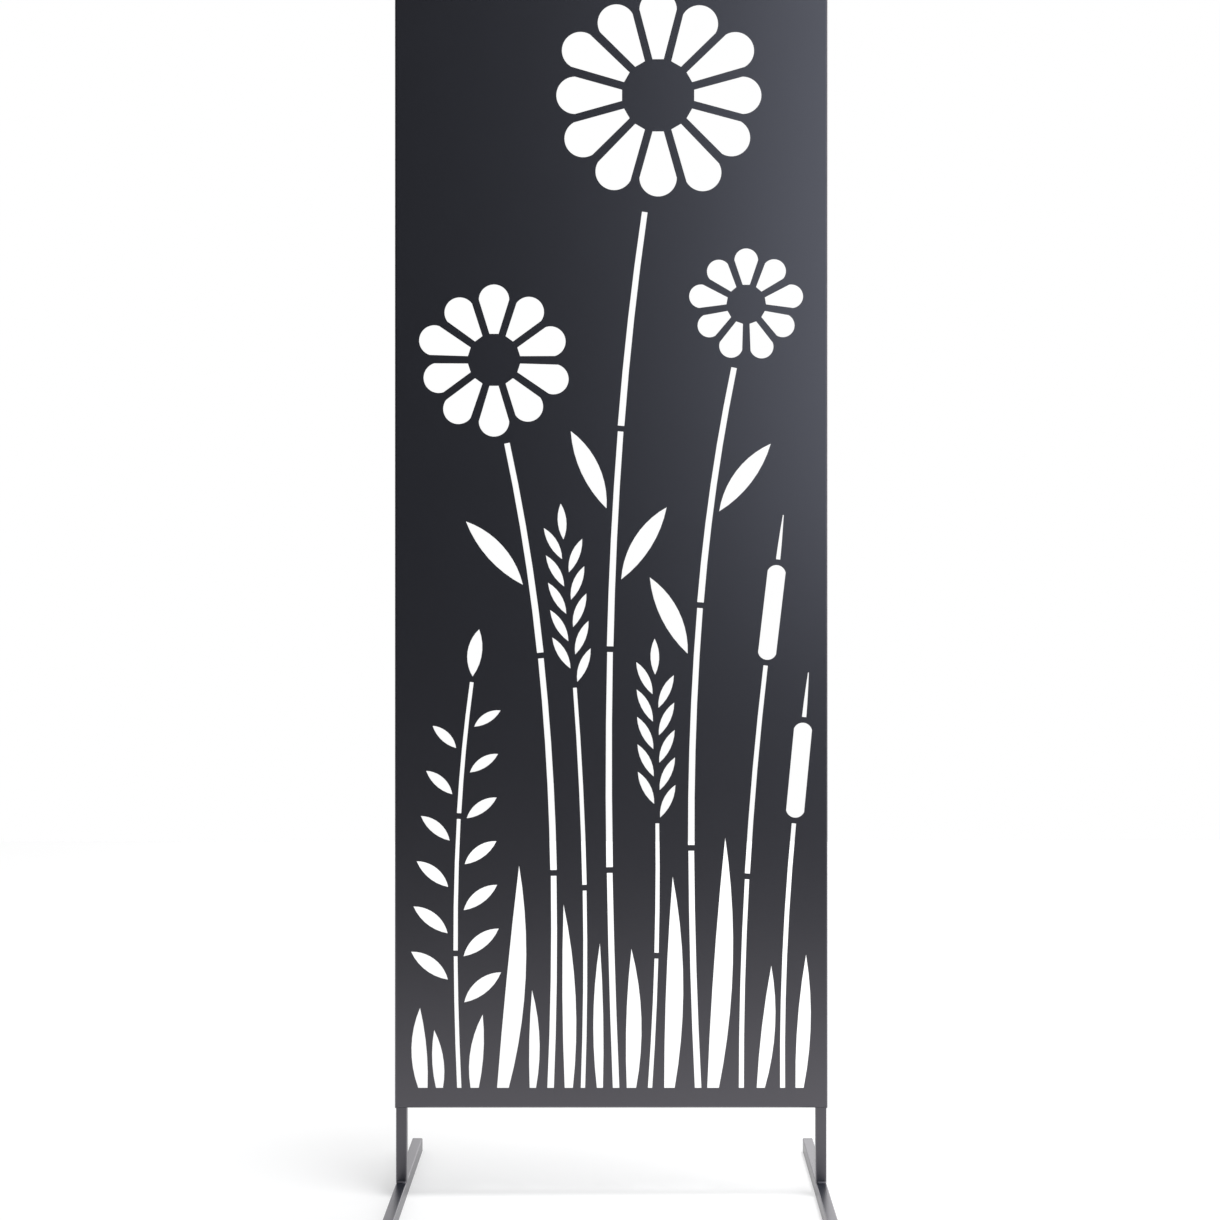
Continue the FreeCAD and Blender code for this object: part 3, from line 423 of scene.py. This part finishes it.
def screw_mesh():
    """One screw on the Z axis, with the seat of its head on the XY plane.

    Its thread begins inside the head.
    """
    bm = bmesh.new()
    bmesh.ops.create_circle(bm, cap_ends=True, segments=ROUND_SEGMENTS, radius=SCREW_FLATS / 2)
    for vert in bm.verts:
        angle = math.atan2(vert.co.y, vert.co.x) % (math.pi / 3) - math.pi / 6
        vert.co.xy /= math.cos(angle)
    top = face_in(bmesh.ops.extrude_face_region(bm, geom=bm.faces[:], use_keep_orig=True)["geom"])
    crown = SCREW_FLATS / 2 * SCREW_CROWN_SHARE
    for vert in top.verts:
        vert.co.z = head_height - (vert.co.xy.length - crown) * math.tan(SCREW_CHAMFER)
    flat = face_in(bmesh.ops.extrude_face_region(bm, geom=[top])["geom"])
    bmesh.ops.delete(bm, geom=[top], context="FACES_ONLY")
    for vert in flat.verts:
        vert.co.xy = vert.co.xy.normalized() * crown
        vert.co.z = head_height
    root = THREAD_RADIUS - THREAD_DEPTH
    tooth = ((root, THREAD_PITCH), (THREAD_RADIUS, THREAD_PITCH / 2), (root, 0))
    verts = [bmesh.ops.create_vert(bm, co=(radius, 0, height))["vert"][0] for radius, height in tooth]
    edges = [bm.edges.new(pair) for pair in zip(verts, verts[1:])]
    turns = math.floor(shank_length / THREAD_PITCH)
    bmesh.ops.spin(
        bm, geom=verts + edges, cent=(0, 0, 0), axis=(0, 0, 1), angle=2 * math.pi * turns,
        dvec=(0, 0, -THREAD_PITCH / THREAD_STEPS), steps=THREAD_STEPS * turns,
    )
    bmesh.ops.remove_doubles(bm, verts=bm.verts, dist=MERGE_DISTANCE)
    bmesh.ops.holes_fill(bm, edges=[e for e in bm.edges if e.is_boundary])
    return bm


screws = screw_mesh()
set_out(screws, screw_places)
add_piece("screws_threaded", screws, zinc_plate, "screws", SCREW_SMOOTH_BELOW)

# The studio
# A white floor that keeps a soft shadow, white all round, a lamp overhead, softboxes in front, to the right
# and behind, and the dark room behind the camera, drawn as dimly glowing sheets of painted shade, which only
# the gloss of the coat shows.

FLOOR_SIZE = Vector((6.0, 4.85))
FLOOR_MIDDLE = Vector((0.0, 0.875, 0.0))
FLOOR_WHITE = "#b6b6b6"
# The floor's painted shade: its matt colour towards the front left
FLOOR_PAINTED_SHADE = "#8f8f8f"
# How much white glow is added to the floor, from the left to the right and from the front to the back: it
# keeps the floor white where it is seen, its rise to the right is painted light, and its fall towards the
# front, which only the gloss shows, is painted shade
FLOOR_GLOW_AND_PAINTED_LIGHT = (0.43, 0.60)
GLOW_ACROSS = (-0.35, 0.35)
GLOW_BACK = (-1.5, -0.1)
ROOM_LIGHT = 0.6
# The painted glow of the unlit room's sheets, painted shade on its walls and a little painted light down by
# its floor, and the heights between which it changes
ROOM_PAINTED_GLOW = (0.033, 0.095)
ROOM_RISE = (0.55, 0.1)
OVERHEAD_LIGHT = 1.7
OVERHEAD_SPREAD = math.radians(11.5)
OVERHEAD_PLACE = Vector((0, 0, 4))
OVERHEAD_DIRECTION = Vector((-0.14, 0.1, -1.0))
ROOM_WALLS = (
    ("room_front", Vector((0.0, -4.2, 1.5)), Vector((14.0, 9.0)), 0.0),
    ("room_left", Vector((-3.0, -1.9, 1.5)), Vector((4.6, 9.0)), math.pi / 2),
)
COOL_WHITE = "#e6f1ff"
NEUTRAL_WHITE = "#ffffff"
# Name, width and height, place, direction of its light, colour, radiance
SOFTBOXES = (
    ("front_softbox", Vector((2.4, 3.4)), Vector((1.78, -3.6, 2.4)), Vector((0, 1, 0)), COOL_WHITE, 1.75),
    ("side_softbox", Vector((2.0, 2.4)), Vector((2.9, 0.9, 1.9)), Vector((-1, 0, 0)), NEUTRAL_WHITE, 2.6),
    ("rear_softbox", Vector((4.25, 2.2)), Vector((1.475, 3.6, 1.2)), Vector((0, -1, 0)), NEUTRAL_WHITE, 1.08),
)


def add_stage(name, size, matrix, material):
    """A flat sheet of the studio, which isn't part of the object."""
    bm = bmesh.new()
    bmesh.ops.create_grid(bm, x_segments=1, y_segments=1, size=0.5)
    bmesh.ops.scale(bm, vec=(size.x, size.y, 1), verts=bm.verts)
    bmesh.ops.transform(bm, matrix=matrix, verts=bm.verts)
    mesh = bpy.data.meshes.new(name)
    bm.to_mesh(mesh)
    bm.free()
    mesh.materials.append(material)
    sheet = bpy.data.objects.new(name, mesh)
    bpy.context.scene.collection.objects.link(sheet)
    return sheet


def seen_directly(tree):
    """One for a ray from the camera or off a gloss, and nought for the light that falls on things."""
    path = add_node(tree, "ShaderNodeLightPath")
    seen = path.outputs["Is Camera Ray"]
    for kind in ("Is Glossy Ray", "Is Transmission Ray"):
        seen = add_node(
            tree, "ShaderNodeMath", {0: seen, 1: path.outputs[kind]}, operation="MAXIMUM",
        ).outputs["Value"]
    return seen


def white_floor():
    """Matt white that takes a shadow, with the rest of white added as a glow where it is seen; the glow is
    painted light that rises from the left to the right and, in the gloss, fades into painted shade towards
    the front.

    Its matt colour is painted darker towards the front left, a painted shade which only the gloss of the
    panel shows.
    """
    material, tree = new_material("white_floor")
    place = add_node(tree, "ShaderNodeTexCoord").outputs["Object"]
    axes = add_node(tree, "ShaderNodeSeparateXYZ", {"Vector": place})
    across = add_node(
        tree, "ShaderNodeMapRange",
        {
            "Value": axes.outputs["X"],
            "From Min": GLOW_ACROSS[0],
            "From Max": GLOW_ACROSS[1],
            "To Min": FLOOR_GLOW_AND_PAINTED_LIGHT[0],
            "To Max": FLOOR_GLOW_AND_PAINTED_LIGHT[1],
        },
    )
    depth = add_node(
        tree, "ShaderNodeMapRange",
        {"Value": axes.outputs["Y"], "From Min": GLOW_BACK[0], "From Max": GLOW_BACK[1]},
    )
    camera_ray = add_node(tree, "ShaderNodeLightPath").outputs["Is Camera Ray"]
    back = add_node(
        tree, "ShaderNodeMath", {0: depth.outputs["Result"], 1: camera_ray}, operation="MAXIMUM",
    )
    side = add_node(
        tree, "ShaderNodeMapRange",
        {"Value": axes.outputs["X"], "From Min": GLOW_ACROSS[0], "From Max": GLOW_ACROSS[1]},
    )
    painted_lit = add_node(
        tree, "ShaderNodeMath", {0: side.outputs["Result"], 1: back.outputs["Value"]}, operation="MAXIMUM",
    )
    # Painted shade: the matt colour darkens towards the front left, except to camera rays
    white = add_node(
        tree, "ShaderNodeMix",
        {"Factor": painted_lit.outputs["Value"], "A": linear(FLOOR_PAINTED_SHADE), "B": linear(FLOOR_WHITE)},
        data_type="RGBA",
    )
    matt = add_node(tree, "ShaderNodeBsdfDiffuse", {"Color": white.outputs["Result"]})
    # Painted light and shade: the glow rises to the right and, in the gloss, fades out towards the front
    painted_light_pool = add_node(
        tree, "ShaderNodeMath", {0: across.outputs["Result"], 1: back.outputs["Value"]}, operation="MULTIPLY",
    )
    glow = add_node(
        tree, "ShaderNodeMath", {0: seen_directly(tree), 1: painted_light_pool.outputs["Value"]}, operation="MULTIPLY",
    )
    light = add_node(tree, "ShaderNodeEmission", {"Strength": glow.outputs["Value"]})
    both = add_node(tree, "ShaderNodeAddShader", {0: matt.outputs["BSDF"], 1: light.outputs["Emission"]})
    add_node(tree, "ShaderNodeOutputMaterial", {"Surface": both.outputs["Shader"]})
    return material


def painted_room_shade():
    """Painted shade for the unlit room behind the camera: a dim glow, painted a little lighter low down,
    where its floor lies.
    """
    material, tree = new_material("painted_room_shade")
    place = add_node(tree, "ShaderNodeTexCoord").outputs["Object"]
    axes = add_node(tree, "ShaderNodeSeparateXYZ", {"Vector": place})
    dim = add_node(
        tree, "ShaderNodeMapRange",
        {
            "Value": axes.outputs["Z"],
            "From Min": ROOM_RISE[0],
            "From Max": ROOM_RISE[1],
            "To Min": ROOM_PAINTED_GLOW[0],
            "To Max": ROOM_PAINTED_GLOW[1],
        },
    )
    light = add_node(tree, "ShaderNodeEmission", {"Strength": dim.outputs["Result"]})
    add_node(tree, "ShaderNodeOutputMaterial", {"Surface": light.outputs["Emission"]})
    return material


add_stage("floor", FLOOR_SIZE, Matrix.Translation(FLOOR_MIDDLE), white_floor())
room = painted_room_shade()
# Painted shade: sheets that glow dimly where the unlit room is, seen only in the gloss
for name, place, size, turn in ROOM_WALLS:
    upright = Matrix.Rotation(turn, 4, "Z") @ Matrix.Rotation(math.pi / 2, 4, "X")
    wall = add_stage(name, size, Matrix.Translation(place) @ upright, room)
    wall.visible_camera = False
    wall.visible_diffuse = False
    wall.visible_shadow = False
    wall.visible_transmission = False


def add_lamp(light, place, direction):
    """Hangs a lamp in the studio, out of the camera's sight."""
    lamp = bpy.data.objects.new(light.name, light)
    lamp.location = place
    lamp.rotation_euler = direction.to_track_quat("-Z", "Y").to_euler()
    lamp.visible_camera = False
    bpy.context.scene.collection.objects.link(lamp)
    return lamp


for name, size, place, direction, colour, radiance in SOFTBOXES:
    softbox = bpy.data.lights.new(name, "AREA")
    softbox.shape = "RECTANGLE"
    softbox.size = size.x
    softbox.size_y = size.y
    softbox.color = linear(colour)[:3]
    softbox.energy = radiance * math.pi * size.x * size.y
    add_lamp(softbox, place, direction)

overhead = bpy.data.lights.new("overhead", "SUN")
overhead.energy = OVERHEAD_LIGHT
overhead.angle = OVERHEAD_SPREAD
overhead_lamp = add_lamp(overhead, OVERHEAD_PLACE, OVERHEAD_DIRECTION)
overhead_lamp.visible_glossy = False

world = bpy.data.worlds.new("white_studio")
world.use_nodes = True
world.node_tree.nodes.clear()
strength = add_node(
    world.node_tree, "ShaderNodeMapRange", {"Value": seen_directly(world.node_tree), "To Min": ROOM_LIGHT},
)
sky = add_node(
    world.node_tree, "ShaderNodeBackground",
    {"Color": linear(NEUTRAL_WHITE), "Strength": strength.outputs["Result"]},
)
add_node(world.node_tree, "ShaderNodeOutputWorld", {"Surface": sky.outputs["Background"]})
bpy.context.scene.world = world
bpy.context.scene.view_settings.view_transform = "Standard"

# The camera
# A level camera at a little under a metre, square to the panel and shifted to frame it as a square picture
# that was cropped from a larger one.

PICTURE_WIDTH_PX = 1220
FOCAL_LENGTH_PX = 1964
PRINCIPAL_POINT_PX = Vector((630, 548))
SENSOR_WIDTH_MM = 36
EYE = Vector((0.026, -2.732, 0.901))

camera_data = bpy.data.cameras.new("camera")
camera_data.sensor_fit = "HORIZONTAL"
camera_data.sensor_width = SENSOR_WIDTH_MM
camera_data.lens = SENSOR_WIDTH_MM * FOCAL_LENGTH_PX / PICTURE_WIDTH_PX
camera_data.shift_x = 0.5 - PRINCIPAL_POINT_PX.x / PICTURE_WIDTH_PX
camera_data.shift_y = PRINCIPAL_POINT_PX.y / PICTURE_WIDTH_PX - 0.5
camera = bpy.data.objects.new("camera", camera_data)
camera.location = EYE
camera.rotation_euler = (math.pi / 2, 0, 0)
bpy.context.scene.collection.objects.link(camera)
bpy.context.scene.camera = camera
